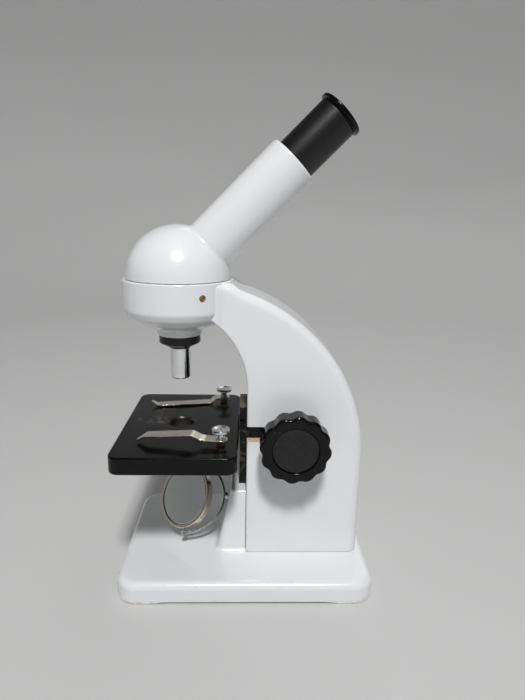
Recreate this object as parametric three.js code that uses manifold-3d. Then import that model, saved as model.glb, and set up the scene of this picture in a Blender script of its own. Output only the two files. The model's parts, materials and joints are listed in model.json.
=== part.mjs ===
// Student microscope with an inclined viewing tube. Millimetres, +Z up.
// Origin: the middle of the base's footprint, on the surface it stands on.
// The stage is towards -X, the back of the arm towards +X, and the far knob towards +Y.

import * as THREE from 'three';
import { mergeVertices } from 'three/addons/utils/BufferGeometryUtils.js';
import Module from 'manifold-3d';

const wasm = await Module();
wasm.setup();

// ---- driving dimensions -------------------------------------------------------------------

const GAP = 0.3; // air left between neighbouring pieces
const DEG = Math.PI / 180;

const BASE = { length: 141, width: 97, top: 12.35, corner: 11.5, fillet: 4, wall: 4.5, skin: 4, lift: 1 };
const FOOT = { length: 24, pad: 7, inset: 9.5 }; // skirt left standing at each corner, and its round pad
const PILLAR = { half: 18.5, top: 51, footX: -17, topX: -9, backX: -0.3, corner: 3.5, wall: 4 };
const ARM = { half: 20.2, inner: 14.6, back: 65.2, backR: 97.5, backZ: 72, frontR: 47.3, frontZ: 112 };
ARM.edge = 5; // rounding of the arm's outer back edges
ARM.bottom = BASE.top + GAP;
ARM.slotTop = 125; // the front slot that the carriage climbs in
ARM.rib = [34, 38]; // cross rib that the slide guide is screwed to
const OPTIC_X = -38.14; // optical axis
const RING = { r: 30.34, bore: 26.3, bottom: 153.75, seat: 154.4, top: 169.65, screwZ: 162.5 };
const COLLAR = { r: 12.24, bottom: 138.44, bore: 8.8, top: 142.1 };
const BOWL = [[22.5, 150.4], [14, 147], [8.8, 146.4]]; // inside of the bowl under the ring
const HEAD = { dome: 28.45, wall: 3.2, z: RING.top + GAP, spigot: 26, spigotBottom: 156, tilt: 45 };
HEAD.groove = 24.8; // the set screws run in a groove round the spigot
HEAD.grooveHalf = 1.8;
const TUBE = { r: 14.65, bore: 11.9, end: 86.8 };
const DRAW = { r: 11.6, bore: 10.2, start: 48, end: 117 };
const EYEPIECE = { flange: 13.1, barrel: 9.9, bore: 8.7, start: 92, end: 120.3, aperture: 6.5 };
const OBJECTIVE = { adapter: 11.45, spigot: 8.5, barrel: 5.75, tip: 113.3, top: 130.9, bore: 3.6 };
OBJECTIVE.spigotTop = 146;
OBJECTIVE.throat = 4.2; // bore of the adapter, which takes the barrel's own spigot
const STAGE = { front: -70.4, back: -4.5, half: 48.4, top: 85.65, thick: 9.3, corner: 6, hole: 7.2 };
const CARRIAGE = { front: -4.2, back: 16, half: 11.2, bottom: 53, top: 99.2 };
const GUIDE = { front: 1, back: 33.7, bottom: 54, top: 118, outer: ARM.inner - GAP, barFront: -3.8 };
const SHAFT = { x: 25.3, z: 86.5, r: 2.5, end: 36 };
const NOTCH = { half: 4.45 };
const BUSH = { outer: 3.8, bore: 2.6, y: 12.9 }; // running clearance on the shaft
const GROOVE = { from: 4, to: 9, depth: 2 }; // the carriage's guide grooves
const HEAD_SCREW = { r: 1.5, tip: 25.2, end: 30.6 };
const HEAD_SCREW_ANGLES = [-60, 60, 180];
const GUIDE_SCREW = { shank: 1.4, head: 2.6, headHeight: 2.2, length: 8.5 };
const GUIDE_SCREWS = [[-5.5, 60], [5.5, 60], [-5.5, 112], [5.5, 112]];
const ARM_SCREWS = [[9.5, -9.5], [9.5, 9.5], [53, -8], [53, 8]];
const ARM_SCREW = { shank: 2.2, head: 4.2, headHeight: 2.6, top: 28 };
const BOSS = { half: 4.6, reach: 4, top: 31 }; // the screws' bosses on the arm's side walls
const GEAR = { module: 0.8, teeth: 12, half: 2.85, addendum: 0.65, dedendum: 0.8 };
const PITCH = Math.PI * GEAR.module;
const PITCH_R = GEAR.module * GEAR.teeth / 2;
const RACK = { x: SHAFT.x - PITCH_R, half: 2.85, teeth: 15, end: 1.5 }; // x is its pitch line
const TOOTH = { addendum: 0.5, dedendum: 0.85, thickness: PITCH / 2 - 0.2, angle: 20 * DEG };
const STAGE_SCREW = { shank: 1.4, head: 2.5, headHeight: 2, y: 5.5, z: 81, seat: 11, length: 26 };
const KNOB = { r: 18.75, lobes: 12, depth: 1.25, phase: -6, inner: 30, outer: 42, edge: 2.4 };
const HUB = { r: 8, start: 21 };
const CAP = { r: 12, recess: 1.6, from: 40.7, to: 41.6 };
const GRUB = { r: 1.5, z: 25.5 };
const CLIP = { x: { near: -13.6, far: -14.9 }, y: 33, width: 7, tip: 2.4, taper: 6, eye: 3.5, thick: 0.8 };
const CLIP_PATH = { // [distance from the post, height]; the near clip is fitted upside down
  near: [[-3.7, 0], [8.2, 0], [10.7, 0.5], [15.2, 2.7], [40, 0.7], [45, -2.6]],
  far: [[-3.7, 0], [5.3, 0], [8.5, -2.8], [41.9, -2.8], [45.6, -0.2]],
};
const CLIP_TURN = { near: -5.5, far: 10 }; // both tips point inwards
const CLIP_POST = { r: 2.3, bore: 1.6, top: 88.7 };
const THUMB = { head: 4.8, headBottom: 93.4, top: 95.4, neck: 2, foot: 2.7, shank: 1.3, bottom: 79 };
const MIRROR = { x: -36.34, z: 37.5, swivel: 52, tilt: -36.8, rim: 19.1, glass: 17, lip: 0.9, depth: 4.4 };
const FORK = { r: 22.2, reach: 23.8, thick: 1.3, width: 3, overrun: 4 * DEG }; // reach is along the pin
const PIN = { r: 2.3, from: FORK.reach - 0.4, to: 31.2 };
const PIVOT = { r: 1, head: 1.7, tip: MIRROR.rim - 1.2, end: FORK.r + 0.9 };
const PRISM = { reach: 8, half: 7.5, holder: 21.5, cheek: 1.5 };

// ---- materials ------------------------------------------------------------------------------

const paint = new THREE.MeshStandardMaterial({ color: 0xe6e8ea, roughness: 0.25, metalness: 0 });
const blackPaint = new THREE.MeshStandardMaterial({ color: 0x0c0d0f, roughness: 0.2, metalness: 0 });
const blackPlastic = new THREE.MeshStandardMaterial({ color: 0x0b0b0c, roughness: 0.22, metalness: 0 });
const capPlastic = new THREE.MeshStandardMaterial({ color: 0x2a2a2b, roughness: 0.8, metalness: 0 });
const blackMetal = new THREE.MeshStandardMaterial({ color: 0x141415, roughness: 0.35, metalness: 0.6 });
const chrome = new THREE.MeshStandardMaterial({ color: 0xd5d7da, roughness: 0.12, metalness: 1 });
const nickel = new THREE.MeshStandardMaterial({ color: 0xc9c3b6, roughness: 0.25, metalness: 1 });
const steel = new THREE.MeshStandardMaterial({ color: 0x9a9c9e, roughness: 0.4, metalness: 1 });
const brass = new THREE.MeshStandardMaterial({ color: 0xb48a45, roughness: 0.3, metalness: 1 });
const glass = new THREE.MeshStandardMaterial({ color: 0xdfeaf0, roughness: 0.02, metalness: 0 });
const mirrorGlass = new THREE.MeshStandardMaterial({ color: 0xe8eef0, roughness: 0.02, metalness: 1 });

// ---- helpers ----------------------------------------------------------------------------------

function solid(geometry) {
  const bare = new THREE.BufferGeometry();
  bare.setAttribute('position', geometry.getAttribute('position'));
  bare.setIndex(geometry.index);
  const merged = mergeVertices(bare, 1e-3);
  const index = merged.index.array;
  const triVerts = [];
  for (let i = 0; i < index.length; i += 3) {
    const [a, b, c] = [index[i], index[i + 1], index[i + 2]];
    if (a !== b && b !== c && c !== a) triVerts.push(a, b, c);
  }
  const vertProperties = new Float32Array(merged.getAttribute('position').array);
  return new wasm.Manifold(new wasm.Mesh({ numProp: 3, vertProperties, triVerts: new Uint32Array(triVerts) }));
}

const join = (first, ...others) => others.reduce((whole, piece) => whole.add(piece), first);
const cut = (first, ...tools) => tools.reduce((whole, tool) => whole.subtract(tool), first);

function part(name, shape, material, parent) {
  const made = shape.getMesh();
  const geometry = new THREE.BufferGeometry();
  geometry.setAttribute('position', new THREE.BufferAttribute(made.vertProperties, 3));
  geometry.setIndex(new THREE.BufferAttribute(made.triVerts, 1));
  geometry.computeVertexNormals();
  const mesh = new THREE.Mesh(geometry, material);
  mesh.name = name;
  parent.add(mesh);
  return mesh;
}

// A box between two corners.
function block([x0, y0, z0], [x1, y1, z1]) {
  const box = new THREE.BoxGeometry(x1 - x0, y1 - y0, z1 - z0);
  return solid(box.translate((x0 + x1) / 2, (y0 + y1) / 2, (z0 + z1) / 2));
}

// A solid of revolution about Z: [radius, z] points, anticlockwise about the section.
function revolve(points, segments = 32, x = 0, y = 0) {
  const outline = points.map(([r, z]) => new THREE.Vector2(r, z));
  return solid(new THREE.LatheGeometry(outline, segments).rotateX(Math.PI / 2).translate(x, y, 0));
}

function rod(r, z0, z1, segments = 24, x = 0, y = 0) {
  return revolve([[0, z0], [r, z0], [r, z1], [0, z1]], segments, x, y);
}

function ring(outer, inner, z0, z1, segments = 32) {
  return revolve([[inner, z0], [outer, z0], [outer, z1], [inner, z1], [inner, z0]], segments);
}

// Turns a shape built along Z so that it lies along Y, and puts its axis at x, z.
function alongY(geometrySolid, x, z) {
  return geometrySolid.rotate([-90, 0, 0]).translate([x, 0, z]);
}

function alongX(geometrySolid, y, z) {
  return geometrySolid.rotate([0, 90, 0]).translate([0, y, z]);
}

// An outline drawn in X and Z, thickened evenly about Y = 0.
function slabXZ(shape, half, options = {}) {
  const { bevel = 0, steps = 3, curve = 12 } = options;
  const geometry = new THREE.ExtrudeGeometry(shape, {
    depth: 2 * (half - bevel), curveSegments: curve, bevelEnabled: bevel > 0,
    bevelSize: bevel, bevelThickness: bevel, bevelOffset: -bevel, bevelSegments: steps,
  });
  return solid(geometry.translate(0, 0, bevel - half).rotateX(Math.PI / 2));
}

// An outline drawn in X and Y, raised from z0 to z1.
function raise(shape, z0, z1, options = {}) {
  const { bevel = 0, steps = 3, curve = 6 } = options;
  const geometry = new THREE.ExtrudeGeometry(shape, {
    depth: z1 - z0 - 2 * bevel, curveSegments: curve, bevelEnabled: bevel > 0,
    bevelSize: bevel, bevelThickness: bevel, bevelOffset: -bevel, bevelSegments: steps,
  });
  return solid(geometry.translate(0, 0, z0 + bevel));
}

function roundedRectangle(x0, x1, y0, y1, r) {
  const shape = new THREE.Shape();
  shape.absarc(x1 - r, y0 + r, r, -Math.PI / 2, 0);
  shape.absarc(x1 - r, y1 - r, r, 0, Math.PI / 2);
  shape.absarc(x0 + r, y1 - r, r, Math.PI / 2, Math.PI);
  shape.absarc(x0 + r, y0 + r, r, Math.PI, 1.5 * Math.PI);
  return shape;
}

function polygon(points) {
  return new THREE.Shape(points.map(([x, y]) => new THREE.Vector2(x, y)));
}

function at(parent, x, y, z) {
  const group = new THREE.Group();
  group.position.set(x, y, z);
  parent.add(group);
  return group;
}

const SIDES = [['near', -1], ['far', 1]];

// A machine screw along -Z from the underside of its head, which is at z = 0.
function machineScrew(shank, length, head, headHeight) {
  return join(rod(shank, -length, 0.1, 10), rod(head, 0, headHeight, 12));
}

const microscope = new THREE.Group();

// ---- base with its pillar ---------------------------------------------------------------------

function baseCasting() {
  const [hx, hy] = [BASE.length / 2, BASE.width / 2];
  const outline = (inset, r) => roundedRectangle(-hx + inset, hx - inset, -hy + inset, hy - inset, r);
  const plate = raise(outline(0, BASE.corner), -BASE.top, BASE.top, { bevel: BASE.fillet, steps: 2 });
  const hollow = raise(outline(BASE.wall, BASE.corner - BASE.wall), -1, BASE.top - BASE.skin, { curve: 4 });
  const skirt = cut(plate, block([-hx - 1, -hy - 1, -BASE.top - 1], [hx + 1, hy + 1, 0]), hollow,
    block([-hx - 1, FOOT.length - hy, -1], [hx + 1, hy - FOOT.length, BASE.lift]),
    block([FOOT.length - hx, -hy - 1, -1], [hx - FOOT.length, hy + 1, BASE.lift]));
  const pads = [[-1, -1], [-1, 1], [1, -1], [1, 1]].map(([sx, sy]) =>
    rod(FOOT.pad, 0, BASE.top - BASE.skin + 0.2, 16, sx * (hx - FOOT.inset), sy * (hy - FOOT.inset)));
  const holes = ARM_SCREWS.map(([x, y]) => rod(ARM_SCREW.shank + GAP, 6, BASE.top + 1, 16, x, y));
  return cut(join(skirt, ...pads, pillar()), ...holes);
}

// The pillar leans back, is hollow behind and carries the mirror's pin.
function pillar() {
  const side = polygon([[PILLAR.footX, BASE.top - 1], [PILLAR.backX, BASE.top - 1],
    [PILLAR.backX, PILLAR.top], [PILLAR.topX, PILLAR.top]]);
  const plan = roundedRectangle(PILLAR.footX - 1, 30, -PILLAR.half, PILLAR.half, PILLAR.corner);
  const outer = slabXZ(side, PILLAR.half + 1);
  const lean = (PILLAR.topX - PILLAR.footX) / (PILLAR.top - BASE.top);
  const corners = raise(plan, 0, PILLAR.top + 1, { curve: 3 }).transform([
    1, 0, 0, 0, 0, 1, 0, 0, lean, 0, 1, 0, 1 - lean * BASE.top, 0, 0, 1]);
  const pocket = block([PILLAR.topX + 1.5, PILLAR.wall - PILLAR.half, BASE.top + PILLAR.wall],
    [PILLAR.backX + 1, PILLAR.half - PILLAR.wall, PILLAR.top - 2 * PILLAR.wall]);
  const pinHole = alongX(rod(PIN.r + GAP, PILLAR.footX - 2, PILLAR.backX + 1, 16), 0, MIRROR.z);
  return cut(outer.intersect(corners), pocket, pinHole);
}

part('base', baseCasting(), paint, microscope);

ARM_SCREWS.forEach(([x, y], i) => {
  const under = BASE.top - BASE.skin - GAP;
  const screw = machineScrew(ARM_SCREW.shank, ARM_SCREW.top - under, ARM_SCREW.head, ARM_SCREW.headHeight);
  part(`arm_screw_${i + 1}`, screw.rotate([180, 0, 0]), steel, at(microscope, x, y, under));
});

// ---- arm with its ring, bowl and collar -----------------------------------------------------

const FRONT_END = Math.atan2(37.8, 28.1); // where the front curve meets the bowl
const BACK_X = ARM.back - ARM.backR; // centres of the two curves
const FRONT_X = -ARM.frontR;
const IN_RING = -28; // the arm ends inside the ring
const BACK_END = Math.acos((IN_RING - BACK_X) / ARM.backR);

// The whole arm seen from the side.
function armOutline() {
  const shape = new THREE.Shape();
  shape.moveTo(0, 0);
  shape.lineTo(ARM.back, 0);
  shape.absarc(BACK_X, ARM.backZ, ARM.backR, 0, BACK_END);
  shape.lineTo(IN_RING, 152);
  shape.absarc(FRONT_X, ARM.frontZ, ARM.frontR, FRONT_END, 0, true);
  return shape;
}

// The strip behind the arm's front edge, which keeps its corners square.
function armFront(depth) {
  const shape = new THREE.Shape();
  shape.moveTo(0, 0);
  shape.lineTo(depth, 0);
  shape.absarc(FRONT_X, ARM.frontZ, ARM.frontR + depth, 0, FRONT_END);
  shape.absarc(FRONT_X, ARM.frontZ, ARM.frontR, FRONT_END, 0, true);
  return shape;
}

function ringAndBowl() {
  const outside = [[COLLAR.bore, COLLAR.bottom], [COLLAR.r - 0.6, COLLAR.bottom], [COLLAR.r, COLLAR.bottom + 0.7],
    [COLLAR.r, COLLAR.top], [14.5, 142.65], [20, 144.6], [25.3, 147.1], [28.5, 150], [RING.r, RING.bottom],
    [RING.r, RING.top - 0.5], [RING.r - 0.5, RING.top]];
  const inside = [[RING.bore, RING.top], [RING.bore, RING.seat], ...BOWL, [COLLAR.bore, COLLAR.bottom]];
  return revolve([...outside, ...inside], 36, OPTIC_X);
}

function armCasting() {
  const ground = block([-80, -60, -5], [80, 60, ARM.bottom]);
  const back = slabXZ(armOutline(), ARM.half, { bevel: ARM.edge, steps: 2, curve: 10 });
  const front = slabXZ(armFront(14), ARM.half, { curve: 10 });
  const slot = block([-20, -ARM.inner, 0], [ARM.rib[0], ARM.inner, ARM.slotTop]);
  const well = slabXZ(polygon([[ARM.rib[1], 0], [60, 0], [60, 84], [54, 108], [44, 122], [ARM.rib[1], 122]]), 13);
  const shaftSlot = join(
    block([-5, -ARM.half - 1, SHAFT.z - NOTCH.half], [SHAFT.x, ARM.half + 1, SHAFT.z + NOTCH.half]),
    alongY(rod(NOTCH.half, -ARM.half - 1, ARM.half + 1), SHAFT.x, SHAFT.z));
  const bosses = ARM_SCREWS.map(([x, y]) => {
    const wall = Math.sign(y) * ARM.inner;
    return block([x - BOSS.half, Math.min(y - BOSS.reach, wall), ARM.bottom],
      [x + BOSS.half, Math.max(y + BOSS.reach, wall), BOSS.top]);
  });
  const bossHoles = ARM_SCREWS.map(([x, y]) => rod(ARM_SCREW.shank + GAP, 0, ARM_SCREW.top + GAP, 16, x, y));
  const ringBore = rod(RING.bore, RING.seat - 2.4, RING.top + 20, 36, OPTIC_X);
  const bowlBore = revolve([[0, 140], [COLLAR.bore, 140], ...BOWL.slice().reverse(), [RING.bore, RING.seat],
    [0, RING.seat]], 36, OPTIC_X);
  const screwHoles = HEAD_SCREW_ANGLES.map((angle) =>
    alongX(rod(HEAD_SCREW.r + GAP, RING.bore - 2, RING.r + 12, 12), 0, RING.screwZ)
      .rotate([0, 0, angle]).translate([OPTIC_X, 0, 0]));
  const ribHoles = GUIDE_SCREWS.map(([y, z]) => alongX(rod(GUIDE_SCREW.shank + GAP, 33, 39, 12), y, z));
  const curved = cut(join(back, front), ground, slot, well, shaftSlot);
  return cut(join(curved, ...bosses, ringAndBowl()), ringBore, bowlBore,
    ...bossHoles, ...screwHoles, ...ribHoles, block([-80, -60, RING.top], [80, 60, 200]));
}

part('arm', armCasting(), paint, microscope);

HEAD_SCREW_ANGLES.forEach((angle, i) => {
  const screw = alongX(rod(HEAD_SCREW.r, HEAD_SCREW.tip, HEAD_SCREW.end, 12), 0, 0);
  const place = at(microscope, OPTIC_X, 0, RING.screwZ);
  place.rotation.z = angle * DEG;
  part(`head_set_screw_${i + 1}`, screw, brass, place);
});

// ---- objective --------------------------------------------------------------------------------

const objective = at(microscope, OPTIC_X, 0, 0);
const nose = OBJECTIVE.top + GAP; // where the adapter's cone meets the barrel
part('objective_adapter', revolve([[OBJECTIVE.throat, nose], [OBJECTIVE.barrel + 0.3, nose], [7.8, 132.2],
  [OBJECTIVE.adapter, 134.1], [OBJECTIVE.adapter, COLLAR.bottom - GAP], [OBJECTIVE.spigot, COLLAR.bottom - GAP],
  [OBJECTIVE.spigot, OBJECTIVE.spigotTop], [OBJECTIVE.throat, OBJECTIVE.spigotTop],
  [OBJECTIVE.throat, nose]], 28), blackMetal, objective);
part('objective_barrel', revolve([[2.6, OBJECTIVE.tip], [5.25, OBJECTIVE.tip], [OBJECTIVE.barrel, 113.8],
  [OBJECTIVE.barrel, OBJECTIVE.top], [3.9, OBJECTIVE.top], [3.9, 140], [2.8, 140], [2.8, 120],
  [OBJECTIVE.bore, 120], [OBJECTIVE.bore, 115], [2.6, 115], [2.6, OBJECTIVE.tip]], 24), chrome, objective);
part('objective_lens', revolve([[0, 115.3], [3.3, 115.5], [3.3, 117.4], [0, 118]], 24), glass, objective);

// ---- slide guide, shaft bushes and screws -----------------------------------------------------

// A channel round the carriage, with tongues in its grooves and bars that reach past the arm's edge.
function slideGuide() {
  const { outer, front, back, bottom, top } = GUIDE;
  const inner = CARRIAGE.half + GAP;
  const tongue = GROOVE.depth - GAP;
  const sides = [-1, 1].map((side) => {
    const wall = block([front, inner, bottom], [back, outer, top]);
    const bar = block([GUIDE.barFront, inner, SHAFT.z - 4.1], [back - 2, outer, SHAFT.z + 4.1]);
    const rail = block([GROOVE.from + GAP, inner - tongue, bottom], [GROOVE.to - GAP, inner + 1, top]);
    return join(wall, bar, rail).scale([1, side, 1]);
  });
  const web = block([31.5, -outer, bottom], [back, outer, top]);
  const bore = alongY(rod(BUSH.outer + GAP, -outer - 1, outer + 1), SHAFT.x, SHAFT.z);
  const holes = GUIDE_SCREWS.map(([y, z]) => alongX(rod(GUIDE_SCREW.shank + GAP, 30, 35, 12), y, z));
  return cut(join(...sides, web), bore, ...holes);
}

part('slide_guide', slideGuide(), blackPaint, microscope);

GUIDE_SCREWS.forEach(([y, z], i) => {
  const { shank, length, head, headHeight } = GUIDE_SCREW;
  const screw = machineScrew(shank, length, head, headHeight).rotate([0, -90, 0]);
  part(`guide_screw_${i + 1}`, screw, steel, at(microscope, 31.5 - GAP, y, z));
});

for (const [side, sign] of SIDES) {
  const bush = ring(BUSH.outer, BUSH.bore, -1.2, 1.2, 20).rotate([-90, 0, 0]);
  part(`shaft_bush_${side}`, bush, brass, at(microscope, SHAFT.x, sign * BUSH.y, SHAFT.z));
}

// ---- carriage, rack and stage ---------------------------------------------------------------

const slide = at(microscope, 0, 0, 0);

function carriage() {
  const { front, back, half, bottom, top } = CARRIAGE;
  const body = block([front, -half, bottom], [back, half, top]);
  const grooves = [-1, 1].map((side) =>
    block([GROOVE.from, half - GROOVE.depth, bottom - 1], [GROOVE.to, half + 1, top + 1]).scale([1, side, 1]));
  const holes = [-1, 1].flatMap((side) => {
    const y = side * STAGE_SCREW.y;
    return [alongX(rod(STAGE_SCREW.shank + GAP, front - 1, back, 12), y, STAGE_SCREW.z),
      alongX(rod(STAGE_SCREW.head + GAP, STAGE_SCREW.seat, back + 1, 16), y, STAGE_SCREW.z)];
  });
  return cut(body, ...grooves, ...holes);
}

// A straight strip of teeth that face +X; a gap between teeth lies at the shaft's height.
function rack() {
  const slope = Math.tan(TOOTH.angle);
  const root = RACK.x - TOOTH.dedendum;
  const tip = RACK.x + TOOTH.addendum;
  const outline = [];
  const first = SHAFT.z + PITCH * (3 - RACK.teeth);
  for (let i = 0; i < RACK.teeth; i++) {
    const middle = first + PITCH * (i + 0.5);
    const halfRoot = TOOTH.thickness / 2 + TOOTH.dedendum * slope;
    const halfTip = TOOTH.thickness / 2 - TOOTH.addendum * slope;
    outline.push([root, middle - halfRoot], [tip, middle - halfTip], [tip, middle + halfTip],
      [root, middle + halfRoot]);
  }
  const [low, high] = [outline[0][1] - RACK.end, outline[outline.length - 1][1] + RACK.end];
  outline.push([root, high], [CARRIAGE.back + GAP, high], [CARRIAGE.back + GAP, low], [root, low]);
  return slabXZ(polygon(outline), RACK.half);
}

function stage() {
  const plate = raise(roundedRectangle(STAGE.front, STAGE.back, -STAGE.half, STAGE.half, STAGE.corner),
    STAGE.top - STAGE.thick, STAGE.top, { bevel: 1, steps: 1, curve: 5 });
  const { top, thick, hole } = STAGE;
  const light = revolve([[0, top - thick - 1], [hole, top - thick - 1], [hole, top - 1], [hole + 0.9, top],
    [hole + 0.9, top + 1], [0, top + 1]], 24, OPTIC_X);
  const posts = SIDES.map(([side, sign]) =>
    rod(CLIP_POST.bore, 77.5, top + 1, 12, CLIP.x[side], sign * CLIP.y));
  const screws = [-1, 1].map((side) =>
    alongX(rod(STAGE_SCREW.shank + GAP, -16, STAGE.back + 1, 12), side * STAGE_SCREW.y, STAGE_SCREW.z));
  return cut(plate, light, ...posts, ...screws);
}

part('carriage', carriage(), blackPaint, slide);
part('rack', rack(), steel, slide);
part('stage', stage(), blackPaint, slide);

for (const [side, sign] of SIDES) {
  const { shank, length, head, headHeight, y, z, seat } = STAGE_SCREW;
  const screw = machineScrew(shank, length, head, headHeight).rotate([0, 90, 0]);
  part(`stage_screw_${side}`, screw, steel, at(slide, seat + GAP, sign * y, z));
}

// ---- stage clips ------------------------------------------------------------------------------

// A spring strip along -X with a round eye at x = 0 and a narrow tip. The path holds
// [distance, height] points along the middle of its thickness.
function clipStrip(path) {
  const half = CLIP.thick / 2;
  const upper = path.map(([x, z]) => [-x, z + half]);
  const lower = path.map(([x, z]) => [-x, z - half]).reverse();
  const strip = slabXZ(polygon([...upper, ...lower]), CLIP.eye);
  const length = path[path.length - 1][0];
  const taper = CLIP.taper - length;
  const [w, t] = [CLIP.width / 2, CLIP.tip / 2];
  const blade = polygon([[0, -w], [0, w], [taper, w], [-length, t], [-length, -t], [taper, -w]]);
  const plan = join(raise(blade, -20, 20), rod(CLIP.eye, -20, 20, 20));
  return cut(strip.intersect(plan), rod(CLIP_POST.bore, -21, 21, 16));
}

// The near clip arches over the stage and comes down at its tip; the far one lies low and turns up.
const CLIP_Z = CLIP_POST.top + GAP + CLIP.thick / 2;

for (const [side, sign] of SIDES) {
  const place = at(slide, CLIP.x[side], sign * CLIP.y, 0);
  part(`clip_post_${side}`, ring(CLIP_POST.r, CLIP_POST.bore, STAGE.top + GAP, CLIP_POST.top, 20), brass, place);
  const swing = at(place, 0, 0, CLIP_Z);
  swing.rotation.z = CLIP_TURN[side] * DEG;
  part(`stage_clip_${side}`, clipStrip(CLIP_PATH[side]), nickel, swing);
  const washer = CLIP_Z + CLIP.thick / 2 + GAP;
  const { head, headBottom, top, neck, foot, shank, bottom } = THUMB;
  part(`clip_screw_${side}`, revolve([[0, bottom], [shank, bottom], [shank, washer], [foot, washer],
    [neck, washer + 0.9], [neck, headBottom], [head - 0.4, headBottom], [head, headBottom + 0.4],
    [head, top - 0.4], [head - 0.5, top], [0, top]], 16), chrome, place);
}

// ---- focus shaft, pinion and knobs ------------------------------------------------------------

const focus = at(microscope, SHAFT.x, 0, SHAFT.z);

// Involute teeth with one tooth towards -X, thinned for backlash.
function pinion() {
  const baseR = PITCH_R * Math.cos(TOOTH.angle);
  const tipR = PITCH_R + GEAR.addendum;
  const rootR = PITCH_R - GEAR.dedendum;
  const involute = (r) => {
    const roll = Math.sqrt((r / baseR) ** 2 - 1);
    return roll - Math.atan(roll);
  };
  const halfAngle = TOOTH.thickness / 2 / PITCH_R + involute(PITCH_R);
  const flank = [baseR, PITCH_R, (PITCH_R + tipR) / 2, tipR];
  const outline = [];
  for (let tooth = 0; tooth < GEAR.teeth; tooth++) {
    const middle = tooth * 2 * Math.PI / GEAR.teeth;
    const side = (sign) => [[rootR, halfAngle], ...flank.map((r) => [r, halfAngle - involute(r)])]
      .map(([r, a]) => [r * Math.cos(middle + sign * a), r * Math.sin(middle + sign * a)]);
    outline.push(...side(-1), ...side(1).reverse());
  }
  return cut(slabXZ(polygon(outline), GEAR.half), alongY(rod(SHAFT.r + GAP, -9, 9), 0, 0));
}

// A knob along +Z: a hub, then a round body with shallow lobes and a sunk front face.
function knob() {
  const lobed = new THREE.Shape();
  const steps = KNOB.lobes * 4;
  for (let i = 0; i < steps; i++) {
    const angle = i * 2 * Math.PI / steps;
    const r = KNOB.r - KNOB.depth * (1 - Math.cos(angle * KNOB.lobes)) / 2;
    const [x, y] = [r * Math.cos(angle + KNOB.phase * DEG), r * Math.sin(angle + KNOB.phase * DEG)];
    if (i) lobed.lineTo(x, y);
    else lobed.moveTo(x, y);
  }
  const body = raise(lobed, KNOB.inner, KNOB.outer, { bevel: KNOB.edge, steps: 1 });
  const hub = rod(HUB.r, HUB.start, KNOB.inner + 1, 24);
  const bore = rod(SHAFT.r + GAP, HUB.start - 1, SHAFT.end + GAP, 20);
  const sink = rod(CAP.r + GAP, KNOB.outer - CAP.recess, KNOB.outer + 1, 36);
  const grub = rod(GRUB.r + GAP, 2, HUB.r + 1, 12).rotate([0, 90, 0]).translate([0, 0, GRUB.z]);
  return cut(join(body, hub), bore, sink, grub);
}

part('focus_shaft', rod(SHAFT.r, -SHAFT.end, SHAFT.end).rotate([-90, 0, 0]), steel, focus);
part('pinion', pinion(), brass, focus);

for (const [side, sign] of SIDES) {
  const out = new THREE.Group(); // its +Z points away from the arm
  out.rotation.x = -sign * Math.PI / 2;
  focus.add(out);
  part(`focus_knob_${side}`, knob(), blackPlastic, out);
  part(`knob_cap_${side}`, revolve([[0, CAP.from], [CAP.r, CAP.from], [CAP.r, CAP.to - 0.2],
    [CAP.r - 0.3, CAP.to], [0, CAP.to]], 36), capPlastic, out);
  const grub = rod(GRUB.r, SHAFT.r + GAP, HUB.r - 0.5, 12).rotate([0, 90, 0]).translate([0, 0, GRUB.z]);
  part(`knob_grub_screw_${side}`, grub, steel, out);
}

// ---- head: dome and inclined tube ---------------------------------------------------------

const head = at(microscope, OPTIC_X, 0, HEAD.z);
const inclined = at(head, 0, 0, 0); // its +Z runs up the viewing tube
inclined.rotation.y = HEAD.tilt * DEG;

function headCasting() {
  const spigot = HEAD.spigotBottom - HEAD.z;
  const groove = RING.screwZ - HEAD.z;
  const inner = HEAD.spigot - 3;
  const outside = [[inner, spigot], [HEAD.spigot, spigot], [HEAD.spigot, groove - HEAD.grooveHalf],
    [HEAD.groove, groove - HEAD.grooveHalf], [HEAD.groove, groove + HEAD.grooveHalf],
    [HEAD.spigot, groove + HEAD.grooveHalf], [HEAD.spigot, 0]];
  const arc = (r, from, to, steps) => Array.from({ length: steps + 1 }, (_, i) => {
    const angle = (from + (to - from) * i / steps) * DEG;
    return [r * Math.cos(angle), r * Math.sin(angle)];
  });
  const domeInner = HEAD.dome - HEAD.wall;
  const rise = Math.acos(inner / domeInner) / DEG;
  const shell = revolve([...outside, ...arc(HEAD.dome, 0, 90, 7), ...arc(domeInner, 90, rise, 4),
    [inner, spigot]], 36);
  const upright = (shape) => shape.rotate([0, HEAD.tilt, 0]);
  const tube = upright(ring(TUBE.r, TUBE.bore, 18, TUBE.end, 32));
  const neck = upright(revolve([[TUBE.bore, 21], [TUBE.r + 2.4, 22.3], [TUBE.r + 0.7, 25.4], [TUBE.r, 28.5],
    [TUBE.bore, 28.5], [TUBE.bore, 21]], 32));
  const bore = upright(rod(TUBE.bore, 14, TUBE.end + 1, 32));
  const hollow = revolve([[0, -1], [inner, -1], ...arc(domeInner, rise, 90, 4)], 36);
  return cut(join(shell, tube, neck), bore, hollow);
}

// A prism that turns the light from straight up to the tilt of the tube.
function prism() {
  const { reach, half } = PRISM;
  const t = HEAD.tilt * DEG / 2; // the reflecting face leans half the tilt from upright
  const edge = reach * Math.tan(t);
  const outline = polygon([[-edge, -reach], [reach, -reach], [reach, edge], [edge, reach]]);
  return slabXZ(outline, half);
}

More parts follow.
